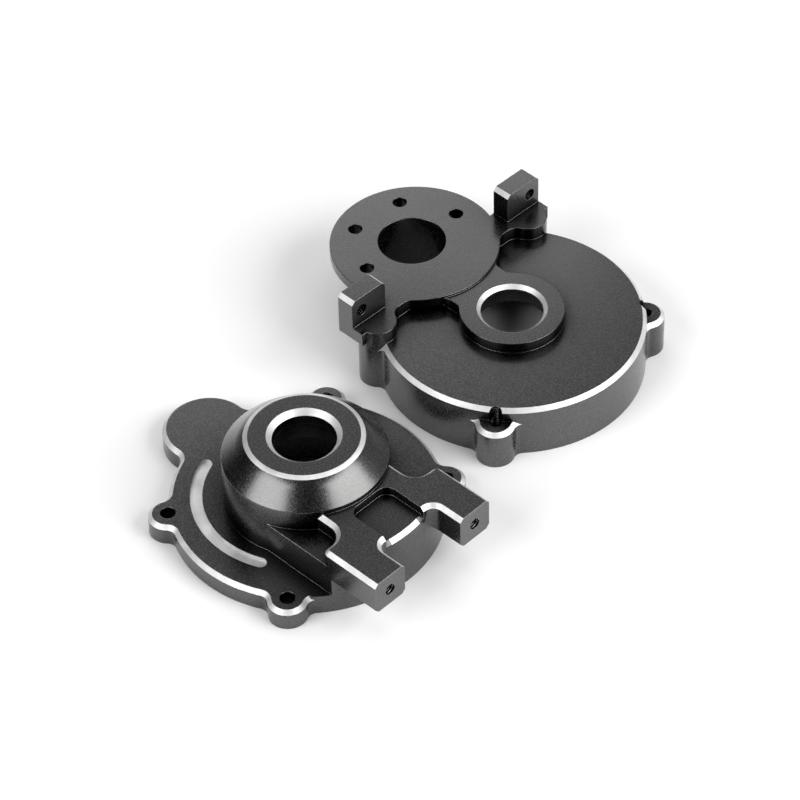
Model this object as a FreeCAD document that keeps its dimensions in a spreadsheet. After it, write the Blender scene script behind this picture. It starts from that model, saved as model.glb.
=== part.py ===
import FreeCAD, Part
import math
import os
import re
import Sketcher

# Centre differential case: two machined shells laid out side by side, joint faces down.
# X runs from the output side shell to the motor side shell, Y towards the motor, Z up.

doc = FreeCAD.newDocument("center_differential_case")
sheet = doc.addObject("Spreadsheet::Sheet", "Sizes")

SIZES = [
    # layout and the joint face that both shells share
    ("axis_spacing", 60.0),
    ("motor_side_turn", -1.15),
    ("case_radius", 27.7),
    ("joint_lug_out", 0.22),
    ("joint_lug_angle", 53.0),
    ("joint_lug_radius", 4.0),
    ("lug_blend", 2.0),
    ("case_wall", 3.1),
    ("pinion_offset", 29.0),
    ("pinion_room_radius", 7.16),
    ("pinion_tower_out", 0.8),
    ("pinion_tower_radius", 9.3),
    ("tower_blend", 2.5),
    ("joint_screw_hole", 1.55),
    ("joint_screw_thread", 1.35),
    ("bearing_radius", 7.5),
    ("edge_chamfer", 0.85),
    # motor side shell
    ("drum_height", 12.0),
    ("drum_roof", 2.5),
    ("front_lug_height", 9.0),
    ("hub_radius", 10.85),
    ("hub_rise", 2.5),
    ("hub_bore", 6.5),
    ("hub_bevel", 0.8),
    ("hub_lip", 1.4),
    ("web_half_width", 7.1),
    ("web_blend", 2.0),
    ("motor_plate_offset", 28.2),
    ("motor_plate_radius", 17.8),
    ("motor_plate_rise", 0.8),
    ("motor_plate_step", 1.2),
    ("motor_plate_thickness", 2.2),
    ("motor_screw_turn", -3.2),
    ("motor_bolt_circle", 12.5),
    ("motor_screw_hole", 1.5),
    ("wing_tip_out", 5.1),
    ("wing_front_in", 0.05),
    ("wing_tip_depth", 0.9),
    ("wing_depth", 5.95),
    ("wing_blend", 2.9),
    ("tab_inner", 18.1),
    ("tab_thickness", 4.1),
    ("tab_rise", 7.0),
    ("tab_hole_in", 2.7),
    ("tab_hole_rise", 3.5),
    ("tab_hole", 1.3),
    # output side shell
    ("flange_thickness", 4.6),
    ("flange_web", 2.4),
    ("boss_radius", 16.65),
    ("boss_shoulder", 16.6),
    ("boss_top", 21.5),
    ("boss_face_radius", 11.18),
    ("boss_rim_width", 0.95),
    ("boss_rim_drop", 0.41),
    ("boss_bore", 6.45),
    ("boss_bore_bevel", 1.1),
    ("boss_room_radius", 13.2),
    ("boss_room_height", 13.6),
    ("boss_seat_top", 18.2),
    ("neck_half_width", 15.9),
    ("notch_depth", 3.65),
    ("land_top", 15.65),
    ("notch_width", 5.95),
    ("notch_y", 20.5),
    ("notch_blend", 3.6),
    ("notch_corner", 1.3),
    ("arm_inner", 7.8),
    ("arm_reach", 34.6),
    ("arm_bottom", 8.0),
    ("arm_root", 18.0),
    ("arm_blend", 2.2),
    ("arm_screw_hole", 1.3),
    ("arm_screw_depth", 9.0),
    ("pocket_half_width", 5.25),
    ("pocket_back", 17.1),
    ("pocket_depth", 1.95),
    ("pocket_corner", 2.4),
    ("track_center_x", -0.5),
    ("track_center_y", 1.85),
    ("track_radius", 20.5),
    ("track_width", 2.5),
    ("track_depth", 0.6),
    ("track_start", 110.3),
    ("track_end", 203.5),
    ("chamfer_run_out", 3.2),
    # room past a face so that a cut goes right through it
    ("overcut", 1.0),
]
for row, (name, value) in enumerate(SIZES, start=1):
    sheet.set(f"A{row}", name)
    sheet.set(f"B{row}", str(value))
    sheet.setAlias(f"B{row}", name)
doc.recompute()

# places that follow from the sizes above
PLACES = [
    ("joint_lug_x", "(case_radius + joint_lug_out) * sin(joint_lug_angle * 1 deg)"),
    ("joint_lug_y", "(case_radius + joint_lug_out) * cos(joint_lug_angle * 1 deg)"),
    ("cavity_radius", "case_radius - case_wall"),
    ("pinion_tower_offset", "case_radius + pinion_tower_out"),
    ("hub_height", "drum_height + hub_rise"),
    ("motor_seat_radius", "motor_plate_radius - motor_plate_step"),
    ("motor_plate_bottom", "drum_height + motor_plate_rise"),
    ("motor_plate_top", "motor_plate_bottom + motor_plate_thickness"),
    ("wing_reach", "joint_lug_x + wing_tip_out"),
    ("wing_front", "joint_lug_y - wing_front_in"),
    ("wing_tip_front", "joint_lug_y - wing_tip_depth"),
    ("wing_back", "joint_lug_y + wing_depth"),
    ("tab_top", "motor_plate_top + tab_rise"),
    ("tab_hole_x", "wing_reach - tab_hole_in"),
    ("tab_hole_z", "motor_plate_top + tab_hole_rise"),
    ("notch_x", "neck_half_width - notch_width"),
    ("neck_ledge", "land_top - notch_depth"),
    ("pocket_floor", "land_top - pocket_depth"),
]
SIZE_WORDS = {name for name, _ in SIZES}
PLACE_WORDS = {name for name, _ in PLACES}


def full_word(match):
    """The name of a size or place as an expression asks for it."""
    word = match.group()
    if word in SIZE_WORDS:
        return "Sizes." + word
    if word in PLACE_WORDS:
        return "Places." + word
    return word


def bind(thing, prop, text):
    """Ties a property to the sizes and places that the text names."""
    thing.setExpression(prop, re.sub(r"[a-z_]+", full_word, text))


places = doc.addObject("App::VarSet", "Places")
for place, formula in PLACES:
    places.addProperty("App::PropertyFloat", place)
    bind(places, place, formula)
doc.recompute()


def size(name):
    return sheet.get(name) if name in SIZE_WORDS else getattr(places, name)


def plane(body, role):
    return next(item for item in body.Origin.OriginFeatures if item.Role == role)


def attach(thing, body, x="0", y="0", z="0", role="XY_Plane"):
    """Puts a sketch or primitive on one of its body's own planes, moved by x, y and z."""
    thing.AttachmentSupport = [(plane(body, role), "")]
    thing.MapMode = "FlatFace"
    for axis, text in (("x", x), ("y", y), ("z", z)):
        bind(thing, f".AttachmentOffset.Base.{axis}", text)


def value_of(text):
    """The present value of a sum of sheet words, used to draw a sketch before it is tied."""
    total = 0.0
    for sign, word in re.findall(r"([+-]?)\s*([a-z_]+|0)", text):
        part = 0.0 if word == "0" else size(word)
        total += -part if sign == "-" else part
    return total


def place_point(sketch, line, end, x, y):
    """Holds one end of a sketch line, or a circle's middle, at x and y from the origin."""
    if x == "0":
        sketch.addConstraint(Sketcher.Constraint("PointOnObject", line, end, -2))
    else:
        number = sketch.addConstraint(
            Sketcher.Constraint("DistanceX", -1, 1, line, end, value_of(x)))
        bind(sketch, f"Constraints[{number}]", x)
    if y == "0":
        sketch.addConstraint(Sketcher.Constraint("PointOnObject", line, end, -1))
    else:
        number = sketch.addConstraint(
            Sketcher.Constraint("DistanceY", -1, 1, line, end, value_of(y)))
        bind(sketch, f"Constraints[{number}]", y)


def rounds(body, name, spots, radius, height, z="0", cut=False, role="XY_Plane"):
    """Round pillars, or round holes, of one radius at the given spots."""
    sketch = body.newObject("Sketcher::SketchObject", name + "_outline")
    attach(sketch, body, z=z, role=role)
    for x, y in spots:
        center = FreeCAD.Vector(value_of(x), value_of(y), 0)
        circle = sketch.addGeometry(Part.Circle(center, FreeCAD.Vector(0, 0, 1), size(radius)))
        place_point(sketch, circle, 3, x, y)
        number = sketch.addConstraint(Sketcher.Constraint("Radius", circle, size(radius)))
        bind(sketch, f"Constraints[{number}]", radius)
    item = body.newObject("PartDesign::Pocket" if cut else "PartDesign::Pad", name)
    item.Profile = sketch
    item.Reversed = cut and role == "XY_Plane"
    bind(item, "Length", height)
    sketch.Visibility = False
    return item


def turned(body, name, profile, cut=False):
    """A solid, or a hollow, turned about the bearing axis; the profile is radius and height."""
    sketch = body.newObject("Sketcher::SketchObject", name + "_profile")
    attach(sketch, body, role="XZ_Plane")
    points = [FreeCAD.Vector(value_of(radius), value_of(z), 0) for radius, z in profile]
    lines = [
        sketch.addGeometry(Part.LineSegment(start, end))
        for start, end in zip(points, points[1:] + points[:1])
    ]
    for line, after in zip(lines, lines[1:] + lines[:1]):
        sketch.addConstraint(Sketcher.Constraint("Coincident", line, 2, after, 1))
    for line, (radius, z) in zip(lines, profile):
        place_point(sketch, line, 1, radius, z)
    item = body.newObject("PartDesign::Groove" if cut else "PartDesign::Revolution", name)
    item.Profile = sketch
    item.ReferenceAxis = (sketch, ["V_Axis"])
    item.Angle = 360
    sketch.Visibility = False
    return item


def cylinder(body, name, radius, height, x="0", y="0", z="0", cut=False, role="XY_Plane"):
    kind = "PartDesign::SubtractiveCylinder" if cut else "PartDesign::AdditiveCylinder"
    item = body.newObject(kind, name)
    attach(item, body, x, y, z, role)
    bind(item, "Radius", radius)
    bind(item, "Height", height)
    return item


def box(body, name, length, width, height, x, y, z, cut=False):
    kind = "PartDesign::SubtractiveBox" if cut else "PartDesign::AdditiveBox"
    item = body.newObject(kind, name)
    attach(item, body, x, y, z)
    bind(item, "Length", length)
    bind(item, "Width", width)
    bind(item, "Height", height)
    return item


def dress(body, kind, name, amount, wanted):
    """Rounds or bevels the edges of the body's last feature that the test picks."""
    doc.recompute()
    base = body.Tip
    picked = [f"Edge{i}" for i, edge in enumerate(base.Shape.Edges, start=1) if wanted(edge)]
    if not picked:
        raise RuntimeError(f"{name} finds no edge")
    item = body.newObject(f"PartDesign::{kind}", name)
    item.Base = (base, picked)
    bind(item, "Radius" if kind == "Fillet" else "Size", amount)
    doc.recompute()
    return item


def near(value, target, slack=0.02):
    return abs(value - target) < slack


def is_upright(edge):
    extent = edge.BoundBox
    return near(extent.XLength, 0) and near(extent.YLength, 0)


def lies_at(edge, z):
    return near(edge.BoundBox.ZMin, z) and near(edge.BoundBox.ZMax, z)


def radius_from(edge, x, y):
    middle = edge.valueAt((edge.FirstParameter + edge.LastParameter) / 2)
    return math.hypot(middle.x - x, middle.y - y)


def middle_of(edge):
    return edge.valueAt((edge.FirstParameter + edge.LastParameter) / 2)


def ring_segment(body, name, half_width, bottom, top):
    """A slab under the arc of the case rim, between two lines parallel to Y."""
    sketch = body.newObject("Sketcher::SketchObject", name + "_outline")
    attach(sketch, body, z=bottom)
    radius = size("case_radius")
    half = value_of(half_width)
    drop = math.sqrt(radius ** 2 - half ** 2)
    start = math.atan2(-drop, -half)
    end = math.atan2(-drop, half)
    vec = FreeCAD.Vector
    circle = Part.Circle(vec(0, 0, 0), vec(0, 0, 1), radius)
    rim = sketch.addGeometry(Part.ArcOfCircle(circle, start, end))
    right = sketch.addGeometry(Part.LineSegment(vec(half, -drop, 0), vec(half, 0, 0)))
    top_line = sketch.addGeometry(Part.LineSegment(vec(half, 0, 0), vec(-half, 0, 0)))
    left = sketch.addGeometry(Part.LineSegment(vec(-half, 0, 0), vec(-half, -drop, 0)))
    add = sketch.addConstraint
    add(Sketcher.Constraint("Coincident", rim, 3, -1, 1))
    add(Sketcher.Constraint("Coincident", rim, 2, right, 1))
    add(Sketcher.Constraint("Coincident", right, 2, top_line, 1))
    add(Sketcher.Constraint("Coincident", top_line, 2, left, 1))
    add(Sketcher.Constraint("Coincident", left, 2, rim, 1))
    add(Sketcher.Constraint("Vertical", right))
    add(Sketcher.Constraint("Vertical", left))
    add(Sketcher.Constraint("PointOnObject", top_line, 1, -1))
    add(Sketcher.Constraint("PointOnObject", top_line, 2, -1))
    across = add(Sketcher.Constraint("DistanceX", -1, 1, right, 2, half))
    back = add(Sketcher.Constraint("DistanceX", left, 1, -1, 1, half))
    round_ = add(Sketcher.Constraint("Radius", rim, radius))
    bind(sketch, f"Constraints[{across}]", half_width)
    bind(sketch, f"Constraints[{back}]", half_width)
    bind(sketch, f"Constraints[{round_}]", "case_radius")
    pad = body.newObject("PartDesign::Pad", name)
    pad.Profile = sketch
    bind(pad, "Length", f"{top} - ({bottom})")
    sketch.Visibility = False
    return pad


def notch(body, name, side):
    """Cuts the land down to the ledge beside the boss, with one rounded inner corner."""
    sketch = body.newObject("Sketcher::SketchObject", name + "_outline")
    attach(sketch, body, z="neck_ledge")
    inner = side * size("notch_x")
    outer = side * (size("neck_half_width") + size("overcut"))
    low = -size("notch_y")
    blend = size("notch_blend")
    vec = FreeCAD.Vector
    center = vec(inner + side * blend, low + blend, 0)
    circle = Part.Circle(center, vec(0, 0, 1), blend)
    if side > 0:
        corner = sketch.addGeometry(Part.ArcOfCircle(circle, math.pi, 1.5 * math.pi))
    else:
        corner = sketch.addGeometry(Part.ArcOfCircle(circle, 1.5 * math.pi, 2 * math.pi))
    line = Part.LineSegment
    wall = sketch.addGeometry(line(vec(inner, 0, 0), vec(inner, low + blend, 0)))
    floor = sketch.addGeometry(line(vec(center.x, low, 0), vec(outer, low, 0)))
    far = sketch.addGeometry(line(vec(outer, low, 0), vec(outer, 0, 0)))
    back = sketch.addGeometry(line(vec(outer, 0, 0), vec(inner, 0, 0)))
    add = sketch.addConstraint
    add(Sketcher.Constraint("Tangent", wall, 2, corner, 1 if side > 0 else 2))
    add(Sketcher.Constraint("Tangent", floor, 1, corner, 2 if side > 0 else 1))
    add(Sketcher.Constraint("Coincident", floor, 2, far, 1))
    add(Sketcher.Constraint("Coincident", far, 2, back, 1))
    add(Sketcher.Constraint("Coincident", back, 2, wall, 1))
    add(Sketcher.Constraint("Vertical", wall))
    add(Sketcher.Constraint("Vertical", far))
    add(Sketcher.Constraint("Horizontal", floor))
    add(Sketcher.Constraint("PointOnObject", back, 1, -1))
    add(Sketcher.Constraint("PointOnObject", back, 2, -1))
    sizes = [
        (Sketcher.Constraint("DistanceX", -1, 1, wall, 1, inner), "notch_x", side),
        (Sketcher.Constraint("DistanceX", -1, 1, far, 2, outer), "(neck_half_width + overcut)", side),
        (Sketcher.Constraint("DistanceY", -1, 1, floor, 2, low), "notch_y", -1),
        (Sketcher.Constraint("Radius", corner, blend), "notch_blend", 1),
    ]
    for constraint, text, sign in sizes:
        number = add(constraint)
        bind(sketch, f"Constraints[{number}]", text if sign > 0 else "-" + text)
    pocket = body.newObject("PartDesign::Pocket", name)
    pocket.Profile = sketch
    pocket.Reversed = True
    bind(pocket, "Length", "land_top - neck_ledge + overcut")
    sketch.Visibility = False
    return pocket


def arc_track(body):
    """The shallow curved groove in the top of the flange, with round ends."""
    sketch = body.newObject("Sketcher::SketchObject", "track_outline")
    attach(sketch, body, z="flange_thickness - track_depth")
    vec = FreeCAD.Vector
    center = vec(size("track_center_x"), size("track_center_y"), 0)
    start = math.radians(size("track_start"))
    end = math.radians(size("track_end"))
    middle = size("track_radius")
    half = size("track_width") / 2
    up = vec(0, 0, 1)

    def at(angle, radius):
        return center + vec(radius * math.cos(angle), radius * math.sin(angle), 0)

    outer = sketch.addGeometry(Part.ArcOfCircle(Part.Circle(center, up, middle + half), start, end))
    inner = sketch.addGeometry(Part.ArcOfCircle(Part.Circle(center, up, middle - half), start, end))
    cap_a = Part.ArcOfCircle(Part.Circle(at(start, middle), up, half), start + math.pi, start + 2 * math.pi)
    cap_b = Part.ArcOfCircle(Part.Circle(at(end, middle), up, half), end, end + math.pi)
    first = sketch.addGeometry(cap_a)
    last = sketch.addGeometry(cap_b)
    add = sketch.addConstraint
    add(Sketcher.Constraint("Coincident", outer, 3, inner, 3))
    add(Sketcher.Constraint("Tangent", first, 2, outer, 1))
    add(Sketcher.Constraint("Tangent", first, 1, inner, 1))
    add(Sketcher.Constraint("Tangent", last, 1, outer, 2))
    add(Sketcher.Constraint("Tangent", last, 2, inner, 2))
    first_x = center.x + middle * math.cos(start)
    last_x = center.x + middle * math.cos(end)
    reach = "track_center_x + track_radius * cos({} * 1 deg)"
    sizes = [
        (Sketcher.Constraint("DistanceX", -1, 1, outer, 3, center.x), "track_center_x"),
        (Sketcher.Constraint("DistanceY", -1, 1, outer, 3, center.y), "track_center_y"),
        (Sketcher.Constraint("Radius", outer, middle + half), "track_radius + track_width / 2"),
        (Sketcher.Constraint("Radius", inner, middle - half), "track_radius - track_width / 2"),
        (Sketcher.Constraint("DistanceX", -1, 1, first, 3, first_x), reach.format("track_start")),
        (Sketcher.Constraint("DistanceX", -1, 1, last, 3, last_x), reach.format("track_end")),
    ]
    for constraint, text in sizes:
        number = add(constraint)
        bind(sketch, f"Constraints[{number}]", text)
    pocket = body.newObject("PartDesign::Pocket", "track")
    pocket.Profile = sketch
    pocket.Reversed = True
    bind(pocket, "Length", "track_depth + overcut")
    sketch.Visibility = False
    return pocket


def pair(x, y):
    """The same spot on the left and on the right."""
    return [("-" + x, y), (x, y)]


def lugs(body, place, height):
    """A pair of screw lugs on the rim, at the front or at the back."""
    y = "joint_lug_y" if place == "back" else "-joint_lug_y"
    rounds(body, f"{place}_lugs", pair("joint_lug_x", y), "joint_lug_radius", height)


def lug_roots(edge):
    """Upright edges where a lug meets the rim."""
    point = middle_of(edge)
    away = math.hypot(abs(point.x) - size("joint_lug_x"), abs(point.y) - size("joint_lug_y"))
    on_rim = near(radius_from(edge, 0, 0), size("case_radius"))
    return is_upright(edge) and on_rim and near(away, size("joint_lug_radius"))


def tower_roots(edge):
    on_rim = near(radius_from(edge, 0, 0), size("case_radius"))
    on_tower = near(radius_from(edge, 0, size("pinion_tower_offset")), size("pinion_tower_radius"))
    return is_upright(edge) and on_rim and on_tower


def build_motor_side():
    """The deep shell: gear drum, bearing hub, motor plate on its tower, two mounting tabs."""
    body = doc.addObject("PartDesign::Body", "motor_side_case")
    spot = [("0", "0")]
    rounds(body, "lug_ring", spot, "case_radius", "front_lug_height")
    lugs(body, "front", "front_lug_height")
    dress(body, "Fillet", "front_lug_blends", "lug_blend", lug_roots)

    def front_lug_edge(edge):
        return lies_at(edge, size("front_lug_height"))

    dress(body, "Chamfer", "front_lug_bevels", "edge_chamfer", front_lug_edge)
    turned(body, "drum", [
        ("0", "0"),
        ("case_radius", "0"),
        ("case_radius", "drum_height - edge_chamfer"),
        ("case_radius - edge_chamfer", "drum_height"),
        ("hub_radius", "drum_height"),
        ("hub_radius", "hub_height"),
        ("0", "hub_height"),
    ])
    plate_spot = [("0", "motor_plate_offset")]
    rounds(body, "plate_seat", plate_spot, "motor_seat_radius", "motor_plate_rise", z="drum_height")
    rounds(body, "pinion_tower", [("0", "pinion_tower_offset")], "pinion_tower_radius",
           "motor_plate_bottom")
    lugs(body, "back", "motor_plate_top")

    def back_lug_roots(edge):
        return lug_roots(edge) and middle_of(edge).y > 0

    dress(body, "Fillet", "back_lug_blends", "lug_blend", back_lug_roots)
    dress(body, "Fillet", "tower_blends", "tower_blend", tower_roots)

    rounds(body, "motor_plate", plate_spot, "motor_plate_radius", "motor_plate_thickness",
           z="motor_plate_bottom")
    wing_thick = "motor_plate_top - drum_height"
    box(body, "web", "2 * web_half_width", "pinion_offset", "hub_height - drum_height + overcut",
        "-web_half_width", "0", "drum_height - overcut")
    box(body, "wings", "2 * wing_reach", "wing_back - wing_front", wing_thick,
        "-wing_reach", "wing_front", "drum_height")
    for corner, word in (("-wing_reach", "left"), ("joint_lug_x", "right")):
        box(body, f"wing_tip_{word}", "wing_reach - joint_lug_x", "wing_back - wing_tip_front",
            wing_thick, corner, "wing_tip_front", "drum_height")
    for corner, word in (("-wing_reach", "left"), ("tab_inner", "right")):
        box(body, f"tab_{word}", "wing_reach - tab_inner", "tab_thickness",
            "tab_top - drum_height", corner, "wing_back - tab_thickness", "drum_height")

    def web_root(edge):
        point = middle_of(edge)
        on_side = near(abs(point.x), size("web_half_width"))
        ahead = point.y < size("wing_front")
        return is_upright(edge) and on_side and point.z > size("drum_height") and ahead

    dress(body, "Fillet", "web_blends", "web_blend", web_root)

    def wing_root(edge):
        point = middle_of(edge)
        across = abs(point.x) - size("joint_lug_x")
        along = point.y - size("joint_lug_y")
        at_lug = near(math.hypot(across, along), size("joint_lug_radius"))
        plate_reach = radius_from(edge, 0, size("motor_plate_offset"))
        at_plate = near(plate_reach, size("motor_plate_radius"))
        at_root = at_lug or at_plate
        return is_upright(edge) and at_root and near(point.y, size("wing_front"))

    dress(body, "Fillet", "wing_blends", "wing_blend", wing_root)

    def tab_edge(edge):
        point = middle_of(edge)
        on_side = near(abs(point.x), size("wing_reach")) or near(abs(point.x), size("tab_inner"))
        return lies_at(edge, size("tab_top")) and on_side

    dress(body, "Chamfer", "tab_bevels", "edge_chamfer", tab_edge)
    turned(body, "gear_room", [
        ("0", "0"),
        ("cavity_radius", "0"),
        ("cavity_radius", "drum_height - drum_roof"),
        ("bearing_radius", "drum_height - drum_roof"),
        ("bearing_radius", "hub_height - hub_lip"),
        ("hub_bore", "hub_height - hub_lip"),
        ("hub_bore", "hub_height - hub_bevel"),
        ("hub_bore + hub_bevel", "hub_height"),
        ("0", "hub_height"),
    ], cut=True)
    rounds(body, "pinion_room", [("0", "pinion_offset")], "pinion_room_radius", "motor_plate_top",
           cut=True)
    rounds(body, "front_threads", pair("joint_lug_x", "-joint_lug_y"), "joint_screw_thread",
           "drum_height", cut=True)
    rounds(body, "back_threads", pair("joint_lug_x", "joint_lug_y"), "joint_screw_thread",
           "drum_height - drum_roof", cut=True)
    rounds(body, "tab_holes", pair("tab_hole_x", "tab_hole_z"), "tab_hole", "wing_back",
           cut=True, role="XZ_Plane")
    for number, angle in enumerate((-150, -90, 90, 150), start=1):
        x = f"motor_bolt_circle * sin({angle} deg + motor_screw_turn * 1 deg)"
        y = f"pinion_offset - motor_bolt_circle * cos({angle} deg + motor_screw_turn * 1 deg)"
        cylinder(body, f"motor_hole_{number}", "motor_screw_hole", "motor_plate_top + overcut",
                 x, y, cut=True)
    body.Label = "motor_side_case"
    body.Placement.Rotation.Axis = FreeCAD.Vector(0, 0, 1)
    bind(body, ".Placement.Rotation.Angle", "motor_side_turn * 1 deg")
    bind(body, ".Placement.Base.x", "axis_spacing / 2")
    bind(body, ".Placement.Base.y", "-(motor_plate_offset + motor_plate_radius - arm_reach) / 2")
    return body


def build_output_side():
    """The shallow shell: flange, coned bearing boss, neck and two screw arms."""
    body = doc.addObject("PartDesign::Body", "output_side_case")
    rounds(body, "flange", [("0", "0")], "case_radius", "flange_thickness")
    rounds(body, "pinion_tower", [("0", "pinion_tower_offset")], "pinion_tower_radius",
           "flange_thickness")
    lugs(body, "front", "flange_thickness")
    lugs(body, "back", "flange_thickness")
    dress(body, "Fillet", "lug_blends", "lug_blend", lug_roots)
    dress(body, "Fillet", "tower_blends", "tower_blend", tower_roots)

    def flange_edge(edge):
        return lies_at(edge, size("flange_thickness"))

    dress(body, "Chamfer", "flange_bevel", "edge_chamfer", flange_edge)
    ring_segment(body, "neck_foot", "neck_half_width + chamfer_run_out", "0", "flange_thickness")
    ring_segment(body, "neck", "neck_half_width", "0", "neck_ledge")
    ring_segment(body, "land", "neck_half_width", "neck_ledge", "land_top")
    for corner, word in (("-neck_half_width", "left"), ("arm_inner", "right")):
        box(body, f"arm_{word}", "neck_half_width - arm_inner", "arm_reach - arm_root",
            "land_top - arm_bottom", corner, "-arm_reach", "arm_bottom")

    def arm_under_edge(edge):
        point = middle_of(edge)
        on_side = near(abs(point.x), size("arm_inner")) or near(abs(point.x), size("neck_half_width"))
        return lies_at(edge, size("arm_bottom")) and on_side

    dress(body, "Chamfer", "arm_under_bevels", "edge_chamfer", arm_under_edge)
    for side, word in ((-1, "left"), (1, "right")):
        notch(body, f"notch_{word}", side)

    def notch_corner_edge(edge):
        point = middle_of(edge)
        on_side = near(abs(point.x), size("neck_half_width"))
        return is_upright(edge) and on_side and near(point.y, -size("notch_y"))

    dress(body, "Fillet", "notch_corners", "notch_corner", notch_corner_edge)

    def arm_root_edge(edge):
        point = middle_of(edge)
        on_side = near(abs(point.x), size("arm_inner"))
        return is_upright(edge) and on_side and near(radius_from(edge, 0, 0), size("case_radius"))

    dress(body, "Fillet", "arm_blends", "arm_blend", arm_root_edge)

    def land_edge(edge):
        point = middle_of(edge)
        extent = edge.BoundBox
        end_edge = near(extent.YMin, -size("arm_reach")) and near(extent.YMax, -size("arm_reach"))
        behind = extent.YMin > -size("boss_radius") / 2
        between = abs(point.x) < size("arm_inner") - size("arm_blend")
        return lies_at(edge, size("land_top")) and not end_edge and not behind and not between

    dress(body, "Chamfer", "land_bevel", "edge_chamfer", land_edge)
    turned(body, "boss", [
        ("0", "0"),
        ("boss_radius", "0"),
        ("boss_radius", "boss_shoulder"),
        ("boss_face_radius + boss_rim_width", "boss_top - boss_rim_drop"),
        ("boss_face_radius", "boss_top"),
        ("0", "boss_top"),
    ])
    box(body, "pocket", "2 * pocket_half_width", "arm_reach - pocket_back",
        "land_top - pocket_floor + overcut", "-pocket_half_width", "-arm_reach", "pocket_floor", cut=True)

    def pocket_corner_edge(edge):
        point = middle_of(edge)
        at_side = near(abs(point.x), size("pocket_half_width"))
        return is_upright(edge) and at_side and near(point.y, -size("pocket_back"))

    dress(body, "Fillet", "pocket_corners", "pocket_corner", pocket_corner_edge)

    def lip_edge(edge):
        return lies_at(edge, size("pocket_floor")) and near(radius_from(edge, 0, 0), size("case_radius"))

    dress(body, "Chamfer", "lip_bevel", "edge_chamfer", lip_edge)
    arc_track(body)
    turned(body, "gear_room", [
        ("0", "0"),
        ("cavity_radius", "0"),
        ("cavity_radius", "flange_thickness - flange_web"),
        ("boss_room_radius", "flange_thickness - flange_web"),
        ("boss_room_radius", "boss_room_height"),
        ("bearing_radius", "boss_room_height"),
        ("bearing_radius", "boss_seat_top"),
        ("boss_bore", "boss_seat_top"),
        ("boss_bore", "boss_top - boss_bore_bevel"),
        ("boss_bore + boss_bore_bevel", "boss_top"),
        ("0", "boss_top"),
    ], cut=True)
    rounds(body, "pinion_room", [("0", "pinion_offset")], "pinion_room_radius",
           "flange_thickness - flange_web", cut=True)
    corners = pair("joint_lug_x", "-joint_lug_y") + pair("joint_lug_x", "joint_lug_y")
    rounds(body, "joint_holes", corners, "joint_screw_hole", "flange_thickness", cut=True)
    for side, word in (("-", "left"), ("", "right")):
        cylinder(body, f"arm_{word}_thread", "arm_screw_hole", "arm_screw_depth + overcut",
                 side + "(arm_inner + neck_half_width) / 2", "(arm_bottom + land_top) / 2",
                 "arm_reach - arm_screw_depth", cut=True, role="XZ_Plane")
    body.Label = "output_side_case"
    bind(body, ".Placement.Base.x", "-axis_spacing / 2")
    bind(body, ".Placement.Base.y", "-(motor_plate_offset + motor_plate_radius - arm_reach) / 2")
    return body


pieces = [build_motor_side(), build_output_side()]
doc.recompute()
for item in doc.Objects:
    if "Invalid" in item.State or "Error" in item.State:
        raise RuntimeError(f"{item.Name} failed: {item.State}")
os.makedirs("parts", exist_ok=True)
for piece in pieces:
    shape = piece.Shape
    if shape.isNull() or not shape.isValid() or len(shape.Solids) != 1:
        raise RuntimeError(f"{piece.Label} is not one valid solid")
    shape.exportStep(f"parts/{piece.Label}.step")
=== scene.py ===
import math

import bmesh
import bpy
from mathutils import Matrix, Vector


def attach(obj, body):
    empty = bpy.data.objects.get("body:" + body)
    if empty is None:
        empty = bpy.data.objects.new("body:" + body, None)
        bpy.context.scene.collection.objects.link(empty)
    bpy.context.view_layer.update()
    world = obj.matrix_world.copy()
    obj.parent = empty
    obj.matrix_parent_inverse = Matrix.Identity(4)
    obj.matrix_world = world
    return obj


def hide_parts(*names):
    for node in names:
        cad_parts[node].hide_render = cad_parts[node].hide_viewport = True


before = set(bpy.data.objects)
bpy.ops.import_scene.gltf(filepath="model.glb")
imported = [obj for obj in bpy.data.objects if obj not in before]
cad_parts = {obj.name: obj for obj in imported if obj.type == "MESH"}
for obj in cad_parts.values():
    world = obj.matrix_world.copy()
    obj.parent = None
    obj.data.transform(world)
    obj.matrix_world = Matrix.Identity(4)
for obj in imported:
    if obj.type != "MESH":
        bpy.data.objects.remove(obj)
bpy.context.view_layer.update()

MM = 0.001

# The two shells: where each bearing axis stands, and how each one is turned
SHELLS = {
    "motor_side_case": {"axis": (30.0, -5.7), "turn": -1.15},
    "output_side_case": {"axis": (-30.0, -5.7), "turn": 0.0},
}

# Sizes in millimetres that tell the machined surfaces apart
CONE_INNER = 12.3
CONE_OUTER = 16.7
CONE_FOOT = 16.55
TRACK_CENTER = (-0.5, 1.85)
TRACK_RADIUS = 20.5
TRACK_HALF_WIDTH = 1.28
TRACK_FLOOR = 3.95
TRACK_TOP = 4.58
LIP_HALF_WIDTH = 3.6
LIP_SIDE = 5.3
LIP_LOW, LIP_HIGH = 12.5, 13.75
LIP_FRONT = -20.0
TAB_FOOT = 15.1
TAB_CORNER = 21.0
FLAT = 0.97
BEVEL_LOW = 0.2

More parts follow.
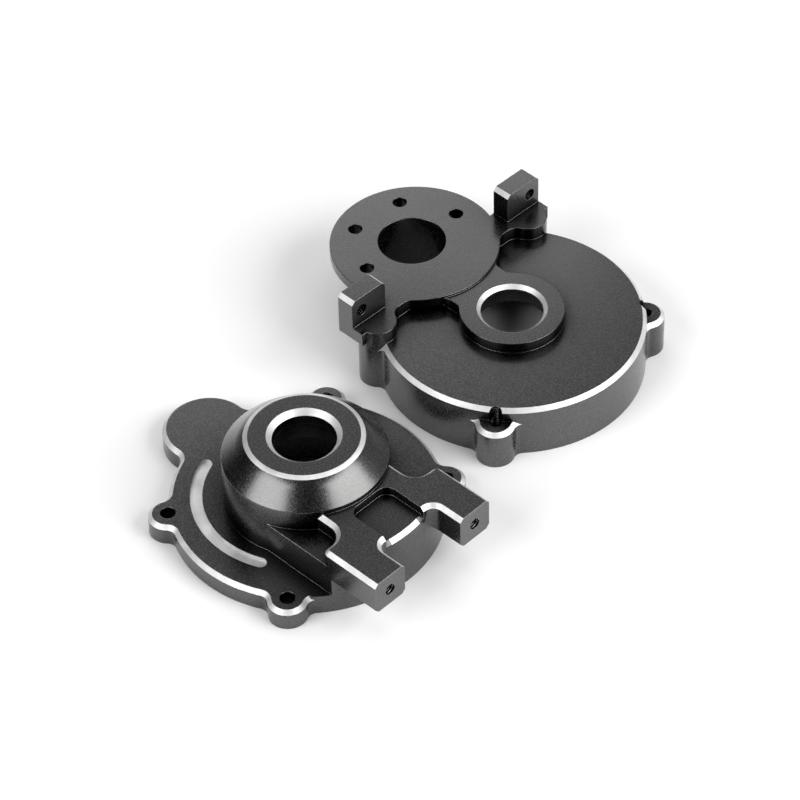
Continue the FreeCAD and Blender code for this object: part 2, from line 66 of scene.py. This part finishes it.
# Screw threads: shell, first ends of the holes, way in (turn about X, Y), hole radius, depth, ridge
ARM_HOLES = ((-11.85, -34.4, 11.825), (11.85, -34.4, 11.825))
TAB_HOLES = ((-24.7, 18.85, 18.5), (24.7, 18.85, 18.5))
LUG_HOLES = ((-22.298, -16.802, 0.4), (22.298, -16.802, 0.4))
THREADS = {
    "arm_threads": ("output_side_case", ARM_HOLES, (-90.0, 0.0), 1.3, 8.4, 0.17),
    "tab_threads": ("motor_side_case", TAB_HOLES, (-90.0, 0.0), 1.3, 3.6, 0.08),
    "lug_threads": ("motor_side_case", LUG_HOLES, (0.0, 0.0), 1.35, 11.0, 0.17),
}
THREAD_PITCH = 0.5
ARM_HOLE_REACH = 1.35
# Threads are open above the lug's top outside the drum's skin; the others are never cut off
LUG_TOP = 8.8
ANY_HEIGHT = 100.0
DRUM_SKIN = 26.9

# Camera: the place it stands at, the point it looks at, its roll and its lens
CAMERA_PLACE = Vector((-386.25, -389.19, 538.01)) * MM
CAMERA_TARGET = Vector((5.40, 2.93, 0.0)) * MM
CAMERA_ROLL = math.radians(-1.61)
CAMERA_LENS = 169.07

# Finish, lengths in millimetres: merging of doubled points and the angle below which faces are smooth
MERGE_REACH = 0.002
SMOOTH_ANGLE = math.radians(22)
# How far edges are worn and how bright the wear and painted highlight along them is; how far the
# painted shade in recesses reaches and how dark it gets
EDGE_RADIUS = 0.25
EDGE_WEAR_AND_HIGHLIGHT = 0.14
EDGE_WEAR_AND_HIGHLIGHT_COLOUR = (0.60, 0.60, 0.59, 1.0)
PAINTED_SHADE_REACH = 13.0
PAINTED_SHADE_LOWEST = 0.12
# Colour of the painted shade deep in recesses
PAINTED_SHADE_COLOUR = (0.0, 0.0, 0.0, 1.0)
# Grain of the blasted black surface: noise scales, its weight, depth of the relief
BLASTED_GRAIN = 2700.0
BLASTED_PATCHES = 60.0
GRAIN_SHARE = 0.8
BLASTED_ROUGH_SPREAD = 0.05
RELIEF_STRENGTH = 0.20
RELIEF_DEPTH = 0.04
# Grain of the bare cut surface: noise scales and the two greys between which it varies
CUT_GRAIN = 2400.0
CUT_PATCHES = 220.0
CUT_ROUGH_SPREAD = 0.06
CUT_DARK = (0.60, 0.60, 0.60, 1.0)
CUT_LIGHT = (0.84, 0.84, 0.83, 1.0)
CUT_METALLIC = 0.85

# Lamps: azimuth to the right of the camera, height angle, distance, width, height, radiance
LAMPS = {
    "left_softbox": (-55.0, 38.0, 0.75, 0.52, 0.42, 4.8),
    "right_softbox": (64.0, 35.0, 0.75, 0.66, 0.50, 5.4),
    "back_panel": (-172.0, 28.0, 0.31, 0.20, 0.17, 1.3),
    "top_panel": (180.0, 84.0, 0.80, 0.64, 0.64, 1.0),
}
# Strength of the room on its dim and on its pale side, where the pale side lies and how it comes in
ROOM_DIM = 0.02
ROOM_PALE = 0.36
PALE_SIDE = 158.0
PALE_START, PALE_FULL = 0.05, 0.5
# The table: its size and drop in millimetres, its white for light, for the camera and in reflections
FLOOR_SIZE = 6000.0
FLOOR_DROP = 0.05
FLOOR_WHITE = 0.80
FLOOR_SEEN = 0.96
FLOOR_MIRRORED = 1.12


def new_material(name):
    material = bpy.data.materials.new(name)
    material.use_nodes = True
    nodes = material.node_tree.nodes
    links = material.node_tree.links
    return material, nodes, links, nodes["Principled BSDF"]


def grain(nodes, links, scale, detail):
    """Fine noise on the piece's own coordinates."""
    place = nodes.new("ShaderNodeTexCoord")
    noise = nodes.new("ShaderNodeTexNoise")
    noise.inputs["Scale"].default_value = scale
    noise.inputs["Detail"].default_value = detail
    links.new(place.outputs["Object"], noise.inputs["Vector"])
    return noise


def spread(nodes, links, source, low, high):
    """The output of noise turned into a value between low and high."""
    ramp = nodes.new("ShaderNodeMapRange")
    ramp.inputs["From Min"].default_value = 0.3
    ramp.inputs["From Max"].default_value = 0.7
    ramp.inputs["To Min"].default_value = low
    ramp.inputs["To Max"].default_value = high
    links.new(source.outputs["Fac"], ramp.inputs["Value"])
    return ramp.outputs["Result"]


def worn_and_highlit_edge(nodes, links):
    """The normal of an edge that was broken by a very small radius, and how near the edge is, which
    sets where wear and painted highlight lie, along outer edges and concave feet alike.
    """
    edge = nodes.new("ShaderNodeBevel")
    edge.samples = 16
    edge.inputs["Radius"].default_value = EDGE_RADIUS * MM
    flat = nodes.new("ShaderNodeNewGeometry")
    match = nodes.new("ShaderNodeVectorMath")
    match.operation = "DOT_PRODUCT"
    links.new(edge.outputs["Normal"], match.inputs[0])
    links.new(flat.outputs["Normal"], match.inputs[1])
    wear_and_highlight = nodes.new("ShaderNodeMapRange")
    wear_and_highlight.inputs["From Min"].default_value = 0.99
    wear_and_highlight.inputs["From Max"].default_value = 0.80
    wear_and_highlight.inputs["To Max"].default_value = EDGE_WEAR_AND_HIGHLIGHT
    links.new(match.outputs["Value"], wear_and_highlight.inputs["Value"])
    return edge.outputs["Normal"], wear_and_highlight.outputs["Result"]


def painted_recess_shade(nodes, links):
    """Painted shade: falls from 1 on open faces to a low value deep in pockets and corners, where
    less light reaches.
    """
    cover = nodes.new("ShaderNodeAmbientOcclusion")
    cover.samples = 8
    cover.only_local = True
    cover.inputs["Distance"].default_value = PAINTED_SHADE_REACH * MM
    shade = nodes.new("ShaderNodeMapRange")
    shade.inputs["From Min"].default_value = 0.45
    shade.inputs["From Max"].default_value = 0.97
    shade.inputs["To Min"].default_value = PAINTED_SHADE_LOWEST
    shade.inputs["To Max"].default_value = 1.0
    links.new(cover.outputs["AO"], shade.inputs["Value"])
    return shade.outputs["Result"]


def blend(nodes, links, factor, first, second):
    """A colour between two, each given as a colour or as another node's output."""
    mix = nodes.new("ShaderNodeMix")
    mix.data_type = "RGBA"
    links.new(factor, mix.inputs["Factor"])
    for socket, colour in (("A", first), ("B", second)):
        if isinstance(colour, tuple):
            mix.inputs[socket].default_value = colour
        else:
            links.new(colour, mix.inputs[socket])
    return mix.outputs["Result"]


def black_anodised(name, roughness, tone):
    """Black anodised aluminium with the fine grain of a blasted surface, painted shade in its pockets
    and corners, and wear and painted highlight along its edges.
    """
    material, nodes, links, shader = new_material(name)
    fine = grain(nodes, links, BLASTED_GRAIN, 2.0)
    wide = grain(nodes, links, BLASTED_PATCHES, 3.0)
    low, high = roughness - BLASTED_ROUGH_SPREAD, roughness + BLASTED_ROUGH_SPREAD
    links.new(spread(nodes, links, fine, low, high), shader.inputs["Roughness"])
    speckle = nodes.new("ShaderNodeMath")
    speckle.operation = "ADD"
    links.new(spread(nodes, links, fine, 0.0, GRAIN_SHARE), speckle.inputs[0])
    links.new(spread(nodes, links, wide, 0.0, 1.0 - GRAIN_SHARE), speckle.inputs[1])
    dark = (tone * 0.80, tone * 0.79, tone * 0.79, 1.0)
    light = (tone * 1.20, tone * 1.19, tone * 1.18, 1.0)
    edge_normal, wear_and_highlight = worn_and_highlit_edge(nodes, links)
    colour = blend(nodes, links, speckle.outputs["Value"], dark, light)
    # painted shade: the colour goes towards black deep in pockets and corners
    colour = blend(nodes, links, painted_recess_shade(nodes, links), PAINTED_SHADE_COLOUR, colour)
    # wear on outer edges and painted highlight along all edges, concave feet included
    colour = blend(nodes, links, wear_and_highlight, colour, EDGE_WEAR_AND_HIGHLIGHT_COLOUR)
    links.new(colour, shader.inputs["Base Color"])
    bump = nodes.new("ShaderNodeBump")
    bump.inputs["Strength"].default_value = RELIEF_STRENGTH
    bump.inputs["Distance"].default_value = RELIEF_DEPTH * MM
    links.new(fine.outputs["Fac"], bump.inputs["Height"])
    links.new(edge_normal, bump.inputs["Normal"])
    links.new(bump.outputs["Normal"], shader.inputs["Normal"])
    shader.inputs["Metallic"].default_value = 1.0
    return material


def bare_aluminium(name, roughness):
    """Aluminium cut bright after anodising, with faint marks from the cutter."""
    material, nodes, links, shader = new_material(name)
    fine = grain(nodes, links, CUT_GRAIN, 2.0)
    wide = grain(nodes, links, CUT_PATCHES, 2.0)
    low, high = roughness - CUT_ROUGH_SPREAD, roughness + CUT_ROUGH_SPREAD
    links.new(spread(nodes, links, fine, low, high), shader.inputs["Roughness"])
    colour = blend(nodes, links, spread(nodes, links, wide, 0.0, 1.0), CUT_DARK, CUT_LIGHT)
    links.new(colour, shader.inputs["Base Color"])
    shader.inputs["Metallic"].default_value = CUT_METALLIC
    return material


def local_place(point, shell):
    """A point of the scene in millimetres from the shell's own bearing axis."""
    x = point.x / MM - shell["axis"][0]
    y = point.y / MM - shell["axis"][1]
    turn = math.radians(shell["turn"])
    cos, sin = math.cos(turn), math.sin(turn)
    return Vector((x * cos + y * sin, y * cos - x * sin, point.z / MM))


def is_bare(name, face, shell):
    """True for the bright cut surfaces: bevels, bore rims and the curved groove."""
    place = local_place(face.calc_center_median(), shell)
    radius = math.hypot(place.x, place.y)
    tilted = BEVEL_LOW < abs(face.normal.z) < FLAT
    if name == "motor_side_case":
        return tilted and (place.z < TAB_FOOT or place.z > TAB_CORNER)
    on_cone = CONE_INNER < radius < CONE_OUTER and place.z > CONE_FOOT
    from_track = math.hypot(place.x - TRACK_CENTER[0], place.y - TRACK_CENTER[1]) - TRACK_RADIUS
    in_track = abs(from_track) < TRACK_HALF_WIDTH and TRACK_FLOOR < place.z < TRACK_TOP
    at_lip = LIP_LOW < place.z < LIP_HIGH and place.y < LIP_FRONT and abs(place.x) < LIP_SIDE
    lip_end = at_lip and abs(place.x) > LIP_HALF_WIDTH
    in_arm_hole = any(math.hypot(place.x - x, place.z - z) < ARM_HOLE_REACH for x, _, z in ARM_HOLES)
    return in_track or (tilted and not on_cone and not lip_end and not in_arm_hole)


def finish_shell(name, materials):
    """A copy of the CAD shell with its bright cut surfaces picked out."""
    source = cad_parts[name]
    shell = SHELLS[name]
    mesh = source.data.copy()
    mesh.materials.clear()
    for material in materials:
        mesh.materials.append(material)
    shape = bmesh.new()
    shape.from_mesh(mesh)
    bmesh.ops.remove_doubles(shape, verts=shape.verts, dist=MERGE_REACH * MM)
    bmesh.ops.recalc_face_normals(shape, faces=shape.faces)
    for face in shape.faces:
        face.material_index = 1 if is_bare(name, face, shell) else 0
        face.smooth = True
    for edge in shape.edges:
        if len(edge.link_faces) == 2:
            edge.smooth = edge.calc_face_angle(0.0) < SMOOTH_ANGLE
    shape.to_mesh(mesh)
    shape.free()
    piece = bpy.data.objects.new(name + "_finished", mesh)
    bpy.context.scene.collection.objects.link(piece)
    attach(piece, "root")
    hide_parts(name)


def group_input(tree, name, kind):
    tree.interface.new_socket(name, in_out="INPUT", socket_type=kind)


def build_thread_tree():
    """Sweeps a thread's ridge along a helix and sets one in each hole of the mesh's points."""
    tree = bpy.data.node_groups.new("screw_thread", "GeometryNodeTree")
    group_input(tree, "Geometry", "NodeSocketGeometry")
    for name in ("Hole Radius", "Depth", "Turns", "Ridge", "Open Height", "Skin Radius"):
        group_input(tree, name, "NodeSocketFloat")
    for name in ("Way In", "Drum Axis"):
        group_input(tree, name, "NodeSocketVector")
    group_input(tree, "Finish", "NodeSocketMaterial")
    tree.interface.new_socket("Geometry", in_out="OUTPUT", socket_type="NodeSocketGeometry")
    nodes = tree.nodes
    link = tree.links.new
    entry = nodes.new("NodeGroupInput").outputs
    spiral = nodes.new("GeometryNodeCurveSpiral")
    spiral.inputs["Resolution"].default_value = 24
    link(entry["Turns"], spiral.inputs["Rotations"])
    link(entry["Hole Radius"], spiral.inputs["Start Radius"])
    link(entry["Hole Radius"], spiral.inputs["End Radius"])
    link(entry["Depth"], spiral.inputs["Height"])
    ridge = nodes.new("GeometryNodeCurvePrimitiveCircle")
    ridge.inputs["Resolution"].default_value = 4
    link(entry["Ridge"], ridge.inputs["Radius"])
    sweep = nodes.new("GeometryNodeCurveToMesh")
    sweep.inputs["Fill Caps"].default_value = True
    link(spiral.outputs["Curve"], sweep.inputs["Curve"])
    link(ridge.outputs["Curve"], sweep.inputs["Profile Curve"])
    turn = nodes.new("FunctionNodeEulerToRotation")
    link(entry["Way In"], turn.inputs["Euler"])
    set_in = nodes.new("GeometryNodeInstanceOnPoints")
    link(entry["Geometry"], set_in.inputs["Points"])
    link(sweep.outputs["Mesh"], set_in.inputs["Instance"])
    link(turn.outputs["Rotation"], set_in.inputs["Rotation"])
    real = nodes.new("GeometryNodeRealizeInstances")
    link(set_in.outputs["Instances"], real.inputs["Geometry"])

    # above the open height only the part of each turn inside the drum's skin is kept
    place = nodes.new("GeometryNodeInputPosition")
    from_axis = nodes.new("ShaderNodeVectorMath")
    from_axis.operation = "SUBTRACT"
    link(place.outputs["Position"], from_axis.inputs[0])
    link(entry["Drum Axis"], from_axis.inputs[1])
    level = nodes.new("ShaderNodeVectorMath")
    level.operation = "MULTIPLY"
    level.inputs[1].default_value = (1.0, 1.0, 0.0)
    link(from_axis.outputs["Vector"], level.inputs[0])
    reach = nodes.new("ShaderNodeVectorMath")
    reach.operation = "LENGTH"
    link(level.outputs["Vector"], reach.inputs[0])
    outside = nodes.new("FunctionNodeCompare")
    link(reach.outputs["Value"], outside.inputs["A"])
    link(entry["Skin Radius"], outside.inputs["B"])
    parts = nodes.new("ShaderNodeSeparateXYZ")
    link(place.outputs["Position"], parts.inputs["Vector"])
    above = nodes.new("FunctionNodeCompare")
    link(parts.outputs["Z"], above.inputs["A"])
    link(entry["Open Height"], above.inputs["B"])
    both = nodes.new("FunctionNodeBooleanMath")
    both.operation = "AND"
    link(outside.outputs["Result"], both.inputs[0])
    link(above.outputs["Result"], both.inputs[1])
    trim = nodes.new("GeometryNodeDeleteGeometry")
    link(real.outputs["Geometry"], trim.inputs["Geometry"])
    link(both.outputs["Boolean"], trim.inputs["Selection"])
    finish = nodes.new("GeometryNodeSetMaterial")
    link(trim.outputs["Geometry"], finish.inputs["Geometry"])
    link(entry["Finish"], finish.inputs["Material"])
    link(finish.outputs["Geometry"], nodes.new("NodeGroupOutput").inputs["Geometry"])
    return tree


def scene_place(spot, shell):
    """The scene's point, in metres, of a place measured from a shell's bearing axis."""
    turn = Matrix.Rotation(math.radians(shell["turn"]), 3, "Z")
    return (turn @ Vector(spot) + Vector((*shell["axis"], 0.0))) * MM


def cut_threads(tree, name, material):
    """One piece with the threads of a pair of screw holes."""
    shell_name, spots, way_in, radius, depth, ridge = THREADS[name]
    shell = SHELLS[shell_name]
    mesh = bpy.data.meshes.new(name + "_holes")
    mesh.from_pydata([scene_place(spot, shell) for spot in spots], [], [])
    carrier = bpy.data.objects.new(name + "_holes", mesh)
    bpy.context.scene.collection.objects.link(carrier)
    modifier = carrier.modifiers.new("thread", "NODES")
    modifier.node_group = tree
    way = [math.radians(way_in[0]), math.radians(way_in[1]), math.radians(shell["turn"])]
    values = {
        "Hole Radius": radius * MM,
        "Depth": depth * MM,
        "Turns": depth / THREAD_PITCH,
        "Ridge": ridge * MM,
        "Open Height": (LUG_TOP if name == "lug_threads" else ANY_HEIGHT) * MM,
        "Skin Radius": DRUM_SKIN * MM,
        "Way In": way,
        "Drum Axis": [shell["axis"][0] * MM, shell["axis"][1] * MM, 0.0],
        "Finish": material,
    }
    for item in tree.interface.items_tree:
        if item.in_out == "INPUT" and item.name in values:
            modifier[item.identifier] = values[item.name]
    carrier.update_tag()
    bpy.context.view_layer.update()
    depsgraph = bpy.context.evaluated_depsgraph_get()
    thread = bpy.data.meshes.new_from_object(carrier.evaluated_get(depsgraph))
    bpy.data.objects.remove(carrier)
    piece = bpy.data.objects.new(name, thread)
    bpy.context.scene.collection.objects.link(piece)
    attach(piece, "root")


def add_floor():
    """A white table, whiter to the camera and in reflections, that keeps the soft shadows."""
    bpy.ops.mesh.primitive_plane_add(size=FLOOR_SIZE * MM, location=(0.0, 0.0, -FLOOR_DROP * MM))
    floor = bpy.context.object
    floor.name = "table"
    material, nodes, links, shader = new_material("white_table")
    nodes.remove(shader)
    matt = nodes.new("ShaderNodeBsdfDiffuse")
    links.new(matt.outputs["BSDF"], nodes["Material Output"].inputs["Surface"])
    ray = nodes.new("ShaderNodeLightPath")
    white = nodes.new("ShaderNodeValue")
    white.outputs["Value"].default_value = FLOOR_WHITE
    shade = white.outputs["Value"]
    for kind, level in (("Is Camera Ray", FLOOR_SEEN), ("Is Glossy Ray", FLOOR_MIRRORED)):
        choice = nodes.new("ShaderNodeMix")
        choice.data_type = "FLOAT"
        links.new(ray.outputs[kind], choice.inputs["Factor"])
        links.new(shade, choice.inputs["A"])
        choice.inputs["B"].default_value = level
        shade = choice.outputs["Result"]
    links.new(shade, matt.inputs["Color"])
    floor.data.materials.append(material)


def level_way(side):
    """A level direction, in degrees to the right of the camera as it faces the object's front."""
    ahead = Vector((CAMERA_PLACE.x, CAMERA_PLACE.y, 0.0)).normalized()
    rightward = Vector((-ahead.y, ahead.x, 0.0))
    return ahead * math.cos(math.radians(side)) + rightward * math.sin(math.radians(side))


def add_world():
    """A room that is pale behind the object and dim on the camera's side, and white to the camera."""
    world = bpy.data.worlds.new("white_room")
    bpy.context.scene.world = world
    world.use_nodes = True
    nodes = world.node_tree.nodes
    links = world.node_tree.links
    way = nodes.new("ShaderNodeTexCoord")
    pale = nodes.new("ShaderNodeVectorMath")
    pale.operation = "DOT_PRODUCT"
    pale.inputs[1].default_value = level_way(PALE_SIDE)
    links.new(way.outputs["Generated"], pale.inputs[0])
    glow = nodes.new("ShaderNodeMapRange")
    glow.interpolation_type = "SMOOTHSTEP"
    glow.inputs["From Min"].default_value = PALE_START
    glow.inputs["From Max"].default_value = PALE_FULL
    glow.inputs["To Min"].default_value = ROOM_DIM
    glow.inputs["To Max"].default_value = ROOM_PALE
    links.new(pale.outputs["Value"], glow.inputs["Value"])
    ray = nodes.new("ShaderNodeLightPath")
    seen = nodes.new("ShaderNodeMath")
    seen.operation = "MAXIMUM"
    links.new(glow.outputs["Result"], seen.inputs[0])
    links.new(ray.outputs["Is Camera Ray"], seen.inputs[1])
    links.new(seen.outputs["Value"], nodes["Background"].inputs["Strength"])
    nodes["Background"].inputs["Color"].default_value = (1.0, 1.0, 1.0, 1.0)


def add_softbox(name, side, rise, distance, width, height, radiance):
    """A softbox that faces the object from the given side and height."""
    way = level_way(side) * math.cos(math.radians(rise))
    way.z = math.sin(math.radians(rise))
    light = bpy.data.lights.new(name, "AREA")
    light.shape = "RECTANGLE"
    light.size = width
    light.size_y = height
    light.energy = radiance * math.pi * width * height
    box = bpy.data.objects.new(name, light)
    bpy.context.scene.collection.objects.link(box)
    box.location = way * distance
    box.rotation_mode = "QUATERNION"
    box.rotation_quaternion = way.to_track_quat("Z", "Y")


def add_camera():
    lens = bpy.data.cameras.new("camera")
    lens.sensor_width = 36.0
    lens.lens = CAMERA_LENS
    lens.clip_start = 0.01
    camera = bpy.data.objects.new("camera", lens)
    bpy.context.scene.collection.objects.link(camera)
    look = (CAMERA_TARGET - CAMERA_PLACE).normalized()
    level = look.cross(Vector((0.0, 0.0, 1.0))).normalized()
    upright = level.cross(look)
    right = level * math.cos(CAMERA_ROLL) + upright * math.sin(CAMERA_ROLL)
    above = upright * math.cos(CAMERA_ROLL) - level * math.sin(CAMERA_ROLL)
    turn = Matrix((right, above, -look)).transposed()
    camera.matrix_world = Matrix.Translation(CAMERA_PLACE) @ turn.to_4x4()
    bpy.context.scene.camera = camera


black = black_anodised("black_anodised", 0.25, 0.115)
bare = bare_aluminium("bare_aluminium", 0.55)
for shell_name in SHELLS:
    finish_shell(shell_name, [black, bare])
worn = black_anodised("worn_anodised", 0.32, 0.42)
thread_tree = build_thread_tree()
cut_threads(thread_tree, "arm_threads", worn)
cut_threads(thread_tree, "tab_threads", black)
cut_threads(thread_tree, "lug_threads", black)
add_floor()
add_world()
for lamp_name, lamp in LAMPS.items():
    add_softbox(lamp_name, *lamp)
add_camera()
bpy.context.scene.view_settings.view_transform = "Standard"
